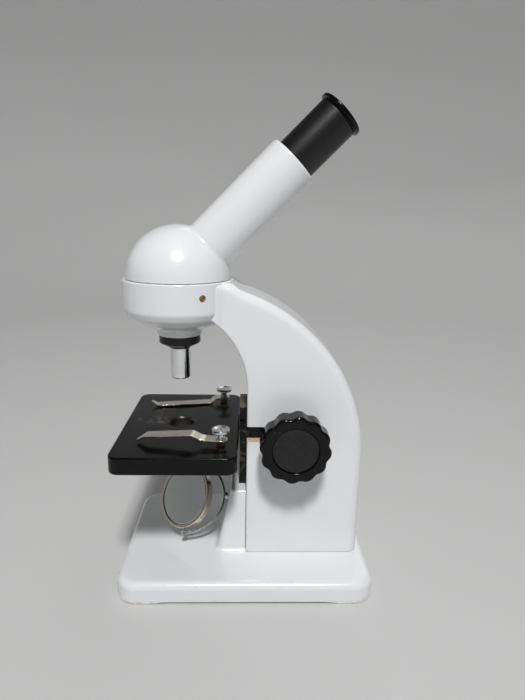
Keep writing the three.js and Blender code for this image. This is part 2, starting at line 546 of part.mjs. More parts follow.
function prismHolder() {
  const { reach, half, holder, cheek } = PRISM;
  const floor = -reach - GAP;
  const plate = rod(holder, floor - 2, floor, 32);
  const cheeks = [-1, 1].map((side) =>
    block([-half, half + GAP, floor - 1], [half, half + GAP + cheek, 7]).scale([1, side, 1]));
  const light = block([-3, -6, floor - 3], [6.5, 6, floor + 1]);
  return cut(join(plate, ...cheeks), light);
}

part('head', headCasting(), paint, head);
part('prism', prism(), glass, head);
part('prism_holder', prismHolder(), blackMetal, head);

// ---- draw tube and eyepiece -------------------------------------------------------------------

part('draw_tube', ring(DRAW.r, DRAW.bore, DRAW.start, DRAW.end, 32), blackMetal, inclined);

function eyepieceBody() {
  const { flange, barrel, bore, start, end, aperture } = EYEPIECE;
  const seat = DRAW.end + GAP;
  return revolve([[bore, start], [barrel, start], [barrel, seat], [flange - 0.3, seat], [flange, seat + 0.3],
    [flange, end - 0.5], [flange - 0.5, end], [aperture + 2.5, end], [aperture, end - 1.2], [aperture, end - 2],
    [bore, end - 2], [bore, start]], 32);
}

part('eyepiece', eyepieceBody(), blackPlastic, inclined);
part('eye_lens', revolve([[0, 113.4], [5, 114], [8.4, 115.6], [8.4, 118], [0, 118]], 28), glass, inclined);
part('field_stop', ring(8.4, 6, 104, 105, 20), blackMetal, inclined);
part('field_lens', revolve([[0, 92.5], [5, 93], [8.4, 94.4], [8.4, 96.4], [0, 96.4]], 28), glass, inclined);

// ---- mirror and its fork ------------------------------------------------------------------------

const swivel = at(microscope, MIRROR.x, 0, MIRROR.z); // turns about X, on the pin in the pillar
swivel.rotation.x = MIRROR.swivel * DEG;
const tilting = at(swivel, 0, 0, 0); // turns about the swivel's Y, on the two pivot screws
tilting.rotation.y = MIRROR.tilt * DEG;

// A flat half ring, slightly longer along the pin, open towards -X, with its pin towards +X.
function mirrorFork() {
  const bow = new THREE.Shape();
  const { r, reach, thick, overrun } = FORK;
  bow.absellipse(0, 0, reach, r, -Math.PI / 2 - overrun, Math.PI / 2 + overrun);
  bow.absellipse(0, 0, reach - thick, r - thick, Math.PI / 2 + overrun, -Math.PI / 2 - overrun, true);
  const strip = raise(bow, -FORK.width / 2, FORK.width / 2, { curve: 18 });
  const pin = alongX(rod(PIN.r, PIN.from, PIN.to, 20), 0, 0);
  const holes = alongY(rod(PIVOT.r + GAP, -40, 40, 12), 0, 0);
  return cut(join(strip, pin), holes);
}

function mirrorRim() {
  const { rim, glass: glassR, lip, depth } = MIRROR;
  const h = depth / 2;
  const bezel = revolve([[glassR - lip, -h], [rim - 0.4, -h], [rim, 0.4 - h], [rim, h - 0.4], [rim - 0.4, h],
    [glassR + GAP, h], [glassR + GAP, -h + 1], [glassR - lip, -h + 1], [glassR - lip, -h]], 36);
  return cut(bezel, alongY(rod(PIVOT.r + GAP, -rim - 1, rim + 1, 12), 0, 0));
}

part('mirror_fork', mirrorFork(), chrome, swivel);
for (const [side, sign] of SIDES) {
  const screw = join(rod(PIVOT.r, PIVOT.tip, PIVOT.end, 12), rod(PIVOT.head, FORK.r + GAP, PIVOT.end, 16));
  part(`mirror_pivot_${side}`, screw.rotate([-sign * 90, 0, 0]), chrome, swivel);
}
part('mirror_rim', mirrorRim(), nickel, tilting);
part('mirror_back', rod(MIRROR.glass, GAP + 1 - MIRROR.depth / 2, -0.2, 36), blackMetal, tilting);
part('mirror_glass', rod(MIRROR.glass, 0.1, MIRROR.depth / 2 - 0.3, 36), mirrorGlass, tilting);

export default microscope;
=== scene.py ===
import json
import math

import bmesh
import bpy
import numpy as np
from mathutils import Matrix, Vector


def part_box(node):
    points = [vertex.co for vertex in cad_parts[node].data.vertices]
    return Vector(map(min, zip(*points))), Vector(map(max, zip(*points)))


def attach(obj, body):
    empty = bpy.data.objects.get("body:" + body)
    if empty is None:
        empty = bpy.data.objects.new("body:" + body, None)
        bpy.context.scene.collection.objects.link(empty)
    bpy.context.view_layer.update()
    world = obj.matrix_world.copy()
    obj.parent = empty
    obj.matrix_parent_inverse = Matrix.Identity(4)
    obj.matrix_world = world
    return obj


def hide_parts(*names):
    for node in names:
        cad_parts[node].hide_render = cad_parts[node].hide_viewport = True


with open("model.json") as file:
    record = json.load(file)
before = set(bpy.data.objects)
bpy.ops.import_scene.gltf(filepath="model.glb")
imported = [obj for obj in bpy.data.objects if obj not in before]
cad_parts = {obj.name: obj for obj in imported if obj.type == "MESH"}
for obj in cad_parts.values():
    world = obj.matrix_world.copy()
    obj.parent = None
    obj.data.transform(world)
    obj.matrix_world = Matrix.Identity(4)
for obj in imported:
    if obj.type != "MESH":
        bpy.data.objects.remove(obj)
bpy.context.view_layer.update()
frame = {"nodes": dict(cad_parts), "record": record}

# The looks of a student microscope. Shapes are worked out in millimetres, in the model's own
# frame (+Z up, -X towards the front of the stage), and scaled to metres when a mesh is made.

MM = 0.001
DEG = math.pi / 180
GAP = 0.3
SIDES = (("near", -1), ("far", 1))
BODY_OF = {n: body for body, names in frame["record"]["behaviour"]["bodies"].items() for n in names}
SLOT_OF = {row["node"]: row["material_slot"] for row in frame["record"]["subparts"]}


def box_mm(node):
    """The lowest and highest corner of a CAD node, in millimetres."""
    low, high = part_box(node)
    return np.array(low) / MM, np.array(high) / MM


# ---- dimensions ----------------------------------------------------------------------------------

BASE_HIGH = box_mm("base")[1]
BASE_TOP = 12.35
PILLAR_TOP = BASE_HIGH[2]
PILLAR_HALF, PILLAR_FOOT, PILLAR_HEAD, PILLAR_BACK = 18.5, -17.0, -9.0, -0.3
ARM_HALF, ARM_SLOT, ARM_SLOT_TOP, ARM_BACK = 20.2, 14.6, 125.0, 65.2
BACK_R, BACK_Z, FRONT_R, FRONT_Z = 97.5, 72.0, 47.3, 112.0
ARM_BOTTOM = BASE_TOP + GAP
RING_R, RING_BORE, RING_BOTTOM = 30.34, 26.3, 153.75
RING_TOP = box_mm("arm")[1][2]
COLLAR_R, COLLAR_BORE, COLLAR_BOTTOM = 12.24, 8.8, 138.44
RING_SEAT = 154.4
BOWL = [(22.5, 150.4), (14, 147), (COLLAR_BORE, 146.4)]  # inside of the bowl under the ring
HEAD_SCREW_Z, HEAD_SCREW_ANGLES = 162.5, (-60, 60, 180)
OPTIC_X = (box_mm("objective_barrel")[0][0] + box_mm("objective_barrel")[1][0]) / 2
HEAD_Z = RING_TOP + GAP
TUBE_R, TUBE_BORE, TUBE_END, DOME_R, DOME_WALL = 14.65, 11.9, 86.8, 28.45, 3.2
DRAW_R, DRAW_BORE, DRAW_START, DRAW_END = 11.6, 10.2, 48.0, 117.0
STAGE_LOW, STAGE_HIGH = box_mm("stage")
SHAFT_X, SHAFT_Z = 25.3, 86.5
NOTCH_HALF = 4.45
KNOB_R, KNOB_IN, KNOB_OUT, KNOB_LOBES, CAP_R = 18.75, 30.0, 42.0, 12, 12.0
KNOB_DEPTH, KNOB_PHASE = 1.25, -6 * DEG
HUB_R, HUB_START, GRUB_Z = 8, 21, 25.5
CLIP_X = {"near": -13.6, "far": -14.9}
CLIP_Y, POST_TOP = 33.0, box_mm("clip_post_near")[1][2]
CLIP_THICK, CLIP_HALF, CLIP_TIP, CLIP_EYE, CLIP_TAPER = 0.8, 3.5, 1.2, 3.5, 6.0
CLIP_Z = POST_TOP + GAP + CLIP_THICK / 2
CLIP_PATH = {
    "near": [(-3.7, 0), (8.2, 0), (10.7, 0.5), (15.2, 2.7), (40, 0.7), (45, -2.6)],
    "far": [(-3.7, 0), (5.3, 0), (8.5, -2.8), (41.9, -2.8), (45.6, -0.2)],
}
CLIP_TURN = {"near": -5.5, "far": 10}
MIRROR_X, MIRROR_Z, MIRROR_SWIVEL, MIRROR_TILT = -36.34, 37.5, 52, -36.8
MIRROR_RIM, MIRROR_GLASS, MIRROR_DEPTH = 19.1, 17.0, 4.4
PIVOT_R = 1.0
FORK_R, FORK_REACH, FORK_THICK, FORK_WIDTH, PIN_R, PIN_END = 22.2, 23.8, 1.3, 3.0, 2.3, 31.2


def move(x, y, z):
    return Matrix.Translation((x * MM, y * MM, z * MM))


def turn(degrees, axis):
    return Matrix.Rotation(degrees * DEG, 4, axis)


OPTIC = move(OPTIC_X, 0, 0)
INCLINED = move(OPTIC_X, 0, HEAD_Z) @ turn(45, "Y")
SWIVEL = move(MIRROR_X, 0, MIRROR_Z) @ turn(MIRROR_SWIVEL, "X")
TILTED = SWIVEL @ turn(MIRROR_TILT, "Y")


# ---- mesh helpers --------------------------------------------------------------------------------

def make(name, verts, faces, place=Matrix.Identity(4)):
    """A closed mesh object from millimetre points, with its faces pointing out."""
    mesh = bpy.data.meshes.new(name)
    mesh.from_pydata((np.array(verts) * MM).tolist(), [], faces)
    bm = bmesh.new()
    bm.from_mesh(mesh)
    bmesh.ops.remove_doubles(bm, verts=bm.verts, dist=1e-7)
    bmesh.ops.recalc_face_normals(bm, faces=bm.faces)
    bm.to_mesh(mesh)
    bm.free()
    mesh.transform(place)
    made = bpy.data.objects.new(name, mesh)
    bpy.context.scene.collection.objects.link(made)
    return made


def fillet(points, radii, steps=6, closed=False):
    """A polyline with each corner rounded to its radius; radii is one number or one per point."""
    points = [np.array(p, float) for p in points]
    count = len(points)
    radii = radii if hasattr(radii, "__len__") else [radii] * count
    out = []
    for i, (p, r) in enumerate(zip(points, radii)):
        back, on = points[i - 1] - p, points[(i + 1) % count] - p
        back_length, on_length = np.linalg.norm(back), np.linalg.norm(on)
        a, b = back / back_length, on / on_length
        half = math.acos(np.clip(a @ b, -1, 1)) / 2
        sweep = math.pi - 2 * half
        if r <= 0 or sweep < 0.03 or (not closed and i in (0, count - 1)):
            out.append(p)
            continue
        reach = min(r / math.tan(half), 0.49 * back_length, 0.49 * on_length)
        r = reach * math.tan(half)
        centre = p + (a + b) / np.linalg.norm(a + b) * r / math.sin(half)
        start, end = p + a * reach - centre, p + b * reach - centre
        for k in range(steps + 1):
            t = k / steps
            blend = math.sin((1 - t) * sweep) * start + math.sin(t * sweep) * end
            out.append(centre + blend / math.sin(sweep))
    return np.array(out)


def lathe(name, profile, segments=96, place=Matrix.Identity(4), knurl=None):
    """A solid of revolution about Z. The profile ends on the axis or closes on itself.
    knurl is (ridges, depth, from z, to z) for a milled edge."""
    rows, verts = [], []
    angles = np.arange(segments) * 2 * np.pi / segments
    for r, z in profile:
        if r < 1e-6:
            rows.append([len(verts)] * segments)
            verts.append((0, 0, z))
            continue
        rows.append(list(range(len(verts), len(verts) + segments)))
        reach = np.full(segments, float(r))
        if knurl and knurl[2] <= z <= knurl[3]:
            reach -= knurl[1] * (0.5 - 0.5 * np.cos(angles * knurl[0]))
        verts += [(d * math.cos(t), d * math.sin(t), z) for d, t in zip(reach, angles)]
    pairs = list(zip(rows, rows[1:]))
    if profile[0][0] > 1e-6:
        pairs.append((rows[-1], rows[0]))
    faces = []
    for low, high in pairs:
        for k in range(segments):
            n = (k + 1) % segments
            face = list(dict.fromkeys([low[k], low[n], high[n], high[k]]))
            if len(face) > 2:
                faces.append(face)
    return make(name, verts, faces, place)


def loft(name, loops, place=Matrix.Identity(4)):
    """Skins equal loops of points one after another and closes both ends."""
    size = len(loops[0])
    verts = [tuple(p) for loop in loops for p in loop]
    faces = [list(range(size))[::-1], [len(verts) - size + k for k in range(size)]]
    for row in range(len(loops) - 1):
        for k in range(size):
            n = (k + 1) % size
            low, high = row * size, (row + 1) * size
            faces.append([low + k, low + n, high + n, high + k])
    return make(name, verts, faces, place)


def rectangle(x0, x1, y0, y1, radii, corner=8, side=1):
    """Points anticlockwise round a rectangle; radii start at the corner x1, y0."""
    corners = [(x1, y0, -1, 1, -90), (x1, y1, -1, -1, 0), (x0, y1, 1, -1, 90), (x0, y0, 1, 1, 180)]
    arcs = []
    for (x, y, sx, sy, start), r in zip(corners, radii):
        turns = [(start + 90 * k / corner) * DEG for k in range(corner + 1)]
        arcs.append([(x + sx * r + r * math.cos(t), y + sy * r + r * math.sin(t)) for t in turns])
    out = []
    for arc, following in zip(arcs, arcs[1:] + arcs[:1]):
        out += arc
        a, b = np.array(arc[-1]), np.array(following[0])
        out += [tuple(a + (b - a) * k / side) for k in range(1, side)]
    return np.array(out)


def boolean(target, tool, operation="DIFFERENCE"):
    """Cuts or joins one closed mesh with another, and removes the tool."""
    modifier = target.modifiers.new("boolean", "BOOLEAN")
    modifier.operation = operation
    modifier.solver = "EXACT"
    modifier.object = tool
    apply_modifiers(target)
    bpy.data.objects.remove(tool)
    return target


def apply_modifiers(target):
    graph = bpy.context.evaluated_depsgraph_get()
    mesh = bpy.data.meshes.new_from_object(target.evaluated_get(graph))
    target.modifiers.clear()
    target.data = mesh


def slab(name, x, y, z):
    """A box cutter between two values on each axis."""
    loops = [[(a, b, c) for a, b in ((x[0], y[0]), (x[1], y[0]), (x[1], y[1]), (x[0], y[1]))] for c in z]
    return loft(name, loops)


def rod(name, r, z0, z1, place=Matrix.Identity(4), segments=64, edge=0.0):
    profile = [(0, z0), (r, z0), (r, z1), (0, z1)]
    if edge:
        profile = fillet(profile, edge, 3)
    return lathe(name, profile, segments, place)


def piece(made, node, *materials, sharp=38):
    """Shades a finished mesh, gives it its materials, and puts it in the place of its CAD node."""
    made.name = f"{node}_skin"
    for material in materials:
        made.data.materials.append(material)
    made.data.shade_smooth()
    made.data.set_sharp_from_angle(angle=sharp * DEG)
    weighted = made.modifiers.new("normals", "WEIGHTED_NORMAL")
    weighted.keep_sharp = True
    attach(made, BODY_OF[node])
    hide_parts(node)
    return made


def bevelled_copy(node, width):
    """A CAD node's own shape with its flat faces merged and its edges broken."""
    bm = bmesh.new()
    bm.from_mesh(frame["nodes"][node].data)
    bmesh.ops.remove_doubles(bm, verts=bm.verts, dist=2e-6)
    bmesh.ops.dissolve_limit(bm, angle_limit=1 * DEG, verts=bm.verts, edges=bm.edges)
    edges = [e for e in bm.edges if e.is_manifold and e.calc_face_angle(0) > 35 * DEG]
    bmesh.ops.bevel(bm, geom=edges, offset=width * MM, segments=2, profile=0.5, affect="EDGES",
                    clamp_overlap=True)
    mesh = bpy.data.meshes.new(node)
    bm.to_mesh(mesh)
    bm.free()
    made = bpy.data.objects.new(node, mesh)
    bpy.context.scene.collection.objects.link(made)
    return made


# ---- materials -----------------------------------------------------------------------------------

def node_of(tree, kind, inputs=(), **settings):
    made = tree.nodes.new(kind)
    for key, value in settings.items():
        setattr(made, key, value)
    for key, value in dict(inputs).items():
        if isinstance(value, bpy.types.NodeSocket):
            tree.links.new(value, made.inputs[key])
        else:
            made.inputs[key].default_value = value
    return made


class Finish:
    """A Principled material whose colour, roughness and bump are built up in layers."""

    def __init__(self, name, colour, rough, metal=0.0, coat=0.0, coat_rough=0.05, ior=1.5):
        self.material = bpy.data.materials.new(name)
        self.material.use_nodes = True
        self.tree = self.material.node_tree
        self.shader = self.tree.nodes["Principled BSDF"]
        self.set("Metallic", metal)
        self.set("Coat Weight", coat)
        self.set("Coat Roughness", coat_rough)
        self.set("IOR", ior)
        self.space = node_of(self.tree, "ShaderNodeTexCoord").outputs["Object"]
        self.colour = node_of(self.tree, "ShaderNodeRGB").outputs[0]
        self.colour.default_value = (*colour, 1)
        self.rough = node_of(self.tree, "ShaderNodeValue").outputs[0]
        self.rough.default_value = rough
        self.normal = None

    def set(self, socket, value):
        self.shader.inputs[socket].default_value = value

    def noise(self, size, detail=3.0, stretch=(1, 1, 1), tilt=0.0):
        """Noise whose grain is size millimetres across, stretched and tilted about Y."""
        turned = node_of(self.tree, "ShaderNodeMapping", {
            "Vector": self.space, "Rotation": (0, -tilt * DEG, 0)})
        scale = [s / (size * MM) for s in stretch]
        mapped = node_of(self.tree, "ShaderNodeMapping", {"Vector": turned.outputs[0], "Scale": scale})
        grain = node_of(self.tree, "ShaderNodeTexNoise",
                        {"Vector": mapped.outputs[0], "Scale": 1.0, "Detail": detail, "Roughness": 0.55})
        return grain.outputs["Fac"]

    def band(self, value, low, high, to=(0.0, 1.0)):
        made = node_of(self.tree, "ShaderNodeMapRange", {
            "Value": value, "From Min": low, "From Max": high, "To Min": to[0], "To Max": to[1]})
        return made.outputs[0]

    def product(self, *values):
        whole = values[0]
        for value in values[1:]:
            made = node_of(self.tree, "ShaderNodeMath", {0: whole, 1: value}, operation="MULTIPLY")
            whole = made.outputs[0]
        return whole

    def up(self, low=0.6, high=0.95):
        """How far the surface faces up."""
        normal = node_of(self.tree, "ShaderNodeNewGeometry").outputs["Normal"]
        return self.band(node_of(self.tree, "ShaderNodeSeparateXYZ", {0: normal}).outputs["Z"], low, high)

    def height(self, low, high):
        """Falls from 1 at a height of low to 0 at high, in millimetres, in the piece's own frame."""
        z = node_of(self.tree, "ShaderNodeSeparateXYZ", {0: self.space}).outputs["Z"]
        return self.band(z, low * MM, high * MM, (1.0, 0.0))

    def edges(self, low=0.53, high=0.6):
        """Where the surface bends outwards."""
        return self.band(node_of(self.tree, "ShaderNodeNewGeometry").outputs["Pointiness"], low, high)

    def tint(self, mask, colour):
        mix = node_of(self.tree, "ShaderNodeMix", {"Factor": mask}, data_type="RGBA")
        self.tree.links.new(self.colour, mix.inputs[6])
        mix.inputs[7].default_value = (*colour, 1)
        self.colour = mix.outputs[2]
        return self

    def roughen(self, mask, rough):
        mix = node_of(self.tree, "ShaderNodeMix", {
            "Factor": mask, 2: self.rough, 3: rough}, data_type="FLOAT")
        self.rough = mix.outputs[0]
        return self

    def bump(self, height, depth, strength=1.0):
        """depth is in millimetres."""
        made = node_of(self.tree, "ShaderNodeBump", {
            "Height": height, "Distance": depth * MM, "Strength": strength})
        if self.normal is not None:
            self.tree.links.new(self.normal, made.inputs["Normal"])
        self.normal = made.outputs[0]
        return self

    def done(self):
        self.tree.links.new(self.colour, self.shader.inputs["Base Color"])
        self.tree.links.new(self.rough, self.shader.inputs["Roughness"])
        if self.normal is not None:
            self.tree.links.new(self.normal, self.shader.inputs["Normal"])
        return self.material


def white_enamel():
    """Thick gloss enamel on a casting: orange peel, faint yellowing, a few chips and grime low down."""
    f = Finish("white_enamel", (0.79, 0.80, 0.815), 0.2, coat=0.6, coat_rough=0.06)
    f.tint(f.band(f.noise(38, 2), 0.45, 0.75, (0.0, 0.2)), (0.80, 0.795, 0.785))
    f.roughen(f.band(f.noise(9, 4), 0.3, 0.8), 0.23)
    smear = f.band(f.noise(14, 3, (0.4, 1, 1)), 0.4, 0.85, (0.0, 0.2))
    f.roughen(smear, 0.3)
    specks = f.band(f.noise(0.9, 1), 0.745, 0.76)
    chips = f.product(specks, f.edges(0.505, 0.53))
    f.tint(chips, (0.16, 0.09, 0.045)).roughen(chips, 0.8)
    grime = f.product(f.height(0.2, 2.4), f.band(f.noise(3, 4), 0.42, 0.62))
    f.tint(f.product(grime, 0.7), (0.33, 0.27, 0.2)).roughen(grime, 0.7)
    f.bump(f.noise(2.2, 1.5), 0.012).bump(chips, -0.05)
    return f.done()


def bare_lip():
    """Cream primer on a cut edge."""
    f = Finish("cream_primer", (0.62, 0.53, 0.33), 0.55)
    f.tint(f.band(f.noise(2, 4), 0.4, 0.7), (0.5, 0.4, 0.22)).bump(f.noise(0.5, 3), 0.03)
    return f.done()


def black_enamel():
    f = Finish("black_enamel", (0.002, 0.0022, 0.0025), 0.12, coat=0.05, coat_rough=0.04, ior=1.28)
    f.roughen(f.band(f.noise(11, 5), 0.4, 0.7), 0.24)
    dust = f.product(f.up(), f.band(f.noise(0.55, 1), 0.7, 0.74), f.band(f.noise(14, 3), 0.42, 0.62))
    film = f.product(f.up(), f.band(f.noise(7, 5), 0.5, 0.8, (0.0, 0.1)))
    f.tint(film, (0.05, 0.048, 0.04)).tint(f.product(dust, 0.35), (0.22, 0.2, 0.17)).roughen(dust, 0.8)
    wear = f.product(f.edges(), f.band(f.noise(3, 4), 0.5, 0.62, (0.0, 0.6)))
    f.tint(wear, (0.09, 0.08, 0.07)).bump(f.noise(1.6, 2), 0.006)
    return f.done()


def bare_casting():
    """The unpainted, stained end of the carriage."""
    f = Finish("bare_casting", (0.17, 0.15, 0.115), 0.5, metal=0.35)
    f.tint(f.band(f.noise(2.5, 5), 0.4, 0.65), (0.09, 0.08, 0.06)).bump(f.noise(0.6, 4), 0.03)
    return f.done()


def black_moulding(name="black_moulding"):
    f = Finish(name, (0.002, 0.002, 0.002), 0.13, coat=0.05, coat_rough=0.05, ior=1.3)
    f.roughen(f.band(f.noise(4, 5), 0.42, 0.68), 0.27)
    wear = f.product(f.edges(0.52, 0.6), f.band(f.noise(2, 4), 0.5, 0.66, (0.0, 0.5)))
    f.tint(wear, (0.05, 0.05, 0.05)).roughen(wear, 0.42)
    f.tint(f.band(f.noise(0.5, 1), 0.76, 0.78, (0.0, 0.35)), (0.2, 0.19, 0.17))
    f.bump(f.noise(1.4, 2), 0.008)
    return f.done()


def grained_cap():
    """Matt insert with a fine leather grain."""
    f = Finish("grained_cap", (0.011, 0.011, 0.011), 0.62, ior=1.4)
    f.tint(f.band(f.noise(3.5, 4), 0.4, 0.7), (0.017, 0.0165, 0.016))
    f.tint(f.band(f.noise(0.4, 1), 0.72, 0.75, (0.0, 0.3)), (0.15, 0.14, 0.13))
    f.roughen(f.band(f.noise(0.8, 3), 0.4, 0.6), 0.8).bump(f.noise(0.55, 3), 0.09)
    return f.done()


def black_anodised():
    """Satin black tube, rubbed along its length, with a little dust."""
    f = Finish("black_anodised", (0.0025, 0.0023, 0.0021), 0.35, ior=1.5)
    streak = f.band(f.noise(1.6, 2, (1, 1, 0.06), tilt=45), 0.3, 0.75)
    f.roughen(streak, 0.42).tint(f.product(streak, 0.3), (0.009, 0.008, 0.007))
    f.tint(f.band(f.noise(0.45, 1), 0.73, 0.76, (0.0, 0.25)), (0.12, 0.11, 0.1))
    f.bump(streak, 0.008).bump(f.noise(0.7, 2), 0.008)
    return f.done()


def metal(name, colour, dark, rough, rough_high, stretch=(1, 1, 1), tilt=0.0, grain=1.2, depth=0.006):
    """Bare metal with brushed or polished grain, soft tarnish and fine scratches."""
    f = Finish(name, colour, rough, metal=1.0)
    lines = f.band(f.noise(grain, 5, stretch, tilt), 0.35, 0.7)
    f.roughen(lines, rough_high)
    f.tint(f.band(f.noise(5, 4), 0.48, 0.74, (0.0, 0.5)), dark)
    f.bump(lines, depth)
    return f.done()


def coated_glass():
    f = Finish("coated_glass", (0.86, 0.92, 0.95), 0.02, coat=0.6, coat_rough=0.02, ior=1.52)
    f.set("Transmission Weight", 1.0)
    f.roughen(f.band(f.noise(4, 4), 0.55, 0.75, (0.0, 0.5)), 0.12).bump(f.noise(6, 2), 0.002)
    return f.done()


def silvered_glass():
    f = Finish("silvered_glass", (0.84, 0.87, 0.87), 0.015, metal=1.0, coat=0.4, coat_rough=0.01)
    smudge = f.band(f.noise(8, 5), 0.5, 0.75)
    f.roughen(f.product(smudge, 0.5), 0.1).tint(f.product(smudge, 0.25), (0.7, 0.72, 0.7))
    f.tint(f.band(f.noise(0.6, 1), 0.74, 0.76, (0.0, 0.5)), (0.45, 0.43, 0.4)).bump(f.noise(9, 2), 0.002)
    return f.done()


ENAMEL = white_enamel()
PRIMER = bare_lip()
BLACK = black_enamel()
CASTING = bare_casting()
MOULDING = black_moulding()
GRAIN = grained_cap()
ANODISED = black_anodised()
CHROME = metal("chrome_plate", (0.8, 0.81, 0.82), (0.62, 0.62, 0.61), 0.07, 0.17)
NICKEL = metal("brushed_nickel", (0.74, 0.7, 0.62), (0.6, 0.55, 0.46), 0.2, 0.32, (0.06, 1, 1))
RIM_NICKEL = metal("warm_nickel", (0.74, 0.69, 0.58), (0.62, 0.55, 0.42), 0.16, 0.24, grain=0.5, depth=0.002)
STEEL = metal("turned_steel", (0.5, 0.5, 0.51), (0.33, 0.31, 0.29), 0.26, 0.44, grain=0.7)
COPPER = metal("pale_copper", (0.8, 0.56, 0.4), (0.5, 0.32, 0.2), 0.16, 0.3, grain=0.8)
BRASS = metal("old_brass", (0.56, 0.39, 0.17), (0.27, 0.17, 0.07), 0.24, 0.42, grain=0.8)
GLASS = coated_glass()
SILVER = silvered_glass()
CARRIED = {"white_paint": ENAMEL, "black_paint": BLACK, "black_plastic": MOULDING, "cap_plastic": GRAIN,
           "black_metal": ANODISED, "chrome": CHROME, "nickel": NICKEL, "steel": STEEL, "brass": BRASS,
           "lens_glass": GLASS, "mirror_glass": SILVER}


# ---- base and pillar -----------------------------------------------------------------------------

def base():
    hx, hy = BASE_HIGH[0], BASE_HIGH[1]
    corner, wall, skin, foot, ramp, flat = 11.5, 4.5, 4.0, 24.0, 2.5, 30.0
    section = fillet([(flat, BASE_TOP - skin), (wall, BASE_TOP - skin), (wall, 0), (0, 0), (0, BASE_TOP),
                      (flat, BASE_TOP)], [0, 1.0, 0.5, 0.8, 4.0, 0], 7)
    loops = []
    for inset, z in section:
        r = max(corner - inset, 0.6)
        plan = rectangle(-hx + inset, hx - inset, -hy + inset, hy - inset, [r] * 4, 10, 36)
        between = np.maximum((hx - foot - abs(plan[:, 0])) / ramp, (hy - foot - abs(plan[:, 1])) / ramp)
        lift = np.clip(between + 0.5, 0, 1) * max(0.0, 1 - z / 3)
        loops.append(np.column_stack([plan, z + lift]))
    body = loft("base", loops)
    for sx in (-1, 1):
        for sy in (-1, 1):
            pad = rod("pad", 7, 0, BASE_TOP - skin + 0.3, move(sx * (hx - 9.5), sy * (hy - 9.5), 0), 48, 0.5)
            boolean(body, pad, "UNION")
    boolean(body, pillar(), "UNION")
    boolean(body, slab("pocket", (PILLAR_HEAD + 1.5, PILLAR_BACK + 1), (-14.5, 14.5), (BASE_TOP + 4, 43)))
    boolean(body, rod("pin_hole", PIN_R + GAP, -22, 3, move(0, 0, MIRROR_Z) @ turn(90, "Y"), 40))
    return piece(body, "base", ENAMEL)


def pillar():
    """Leans back, with a cove round its foot and softened top edges."""
    cove, edge, corner = 2.6, 1.0, 3.5
    lean = (PILLAR_HEAD - PILLAR_FOOT) / (PILLAR_TOP - BASE_TOP)
    steps = [(BASE_TOP - 1, cove, 0.0)]
    for k in range(9):
        t = k / 8 * math.pi / 2
        steps.append((BASE_TOP + cove * (1 - math.cos(t)), cove * (1 - math.sin(t)), 0.0))
    for k in range(7):
        t = k / 6 * math.pi / 2
        steps.append((PILLAR_TOP - edge * (1 - math.sin(t)), 0.0, edge * (1 - math.cos(t))))
    loops = []
    for z, flare, inset in steps:
        x0 = PILLAR_FOOT + lean * (z - BASE_TOP) - flare + inset
        half = PILLAR_HALF + flare - inset
        front = max(corner + flare - inset, 0.5)
        plan = rectangle(x0, PILLAR_BACK - inset * 0.3, -half, half, [0.3, 0.3, front, front], 8, 4)
        loops.append(np.column_stack([plan, np.full(len(plan), z)]))
    return loft("pillar", loops)


# ---- arm, ring and bowl --------------------------------------------------------------------------

def curve_point(t, x, r, z, end):
    """A point and outward normal on a line up X = x from the arm's foot and then an arc of end radians."""
    straight, arc = z - ARM_BOTTOM, r * end
    s = t * (straight + arc)
    if s <= straight:
        return np.array([x, ARM_BOTTOM + s]), np.array([1.0, 0.0])
    angle = (s - straight) / r
    normal = np.array([math.cos(angle), math.sin(angle)])
    return np.array([x - r, z]) + r * normal, normal


def arm_body():
    """Each section's corners are rounded square to the edge that they follow."""
    front_end, back_end = math.atan2(37.8, 28.1) + 0.12, math.acos((-28 - ARM_BACK + BACK_R) / BACK_R)
    front_r, back_r, blend = 1.0, 5.0, 3.0
    edge_x = OPTIC_X + math.sqrt(RING_R ** 2 - ARM_HALF ** 2)
    loops = []
    low = [0, 0.0015, 0.004, 0.008, 0.013]
    for t in low + list(np.linspace(0.02, 1, 110)):
        f, nf = curve_point(t, 0, FRONT_R, FRONT_Z, front_end)
        b, nb = curve_point(t, ARM_BACK, BACK_R, BACK_Z, back_end)
        ring = [(f, 0.0), (f, 8.0)]
        ring += [(f + nf * front_r * (1 - math.cos(a)), ARM_HALF - front_r * (1 - math.sin(a)))
                 for a in (k / 5 * math.pi / 2 for k in range(6))]
        a, c = ring[-1][0], b - nb * back_r
        ring += [(a + (c - a) * s, ARM_HALF) for s in (0.04, 0.25, 0.5, 0.75, 0.96)]
        ring += [(c + nb * back_r * math.sin(u), ARM_HALF - back_r * (1 - math.cos(u)))
                 for u in (k / 8 * math.pi / 2 for k in range(9))]
        ring += [(b, 8.0), (b, 0.0)]
        half = [(p[0], y, p[1]) for p, y in ring]
        whole = half + [(x, -y, z) for x, y, z in half[-2:0:-1]]
        loops.append([round_foot(widen(p, edge_x, blend)) for p in whole])
    return loft("arm", loops)


def widen(p, edge_x, blend):
    """Flares the sides into the ring and runs the arm's top up to the ring's edge."""
    x, y, z = p
    near = np.clip((edge_x + blend - x) / blend, 0, 1)
    grow = blend * 0.45 * near * near * (1 if abs(y) > ARM_HALF - 1.2 else 0)
    rise = 2.3 * np.clip((-1 - x) / 7, 0, 1) ** 2 * np.clip((z - 158) / 6, 0, 1)
    return (x, y + math.copysign(grow, y), max(z, min(z + rise, RING_TOP - 0.1)))


def round_foot(p, r=2.0):
    """Rounds the arm's lower rear corner as seen from the side."""
    x, y, z = p
    if z < ARM_BOTTOM + r:
        x = min(x, ARM_BACK - r + math.sqrt(max(r * r - (ARM_BOTTOM + r - z) ** 2, 0)))
    return (x, y, z)


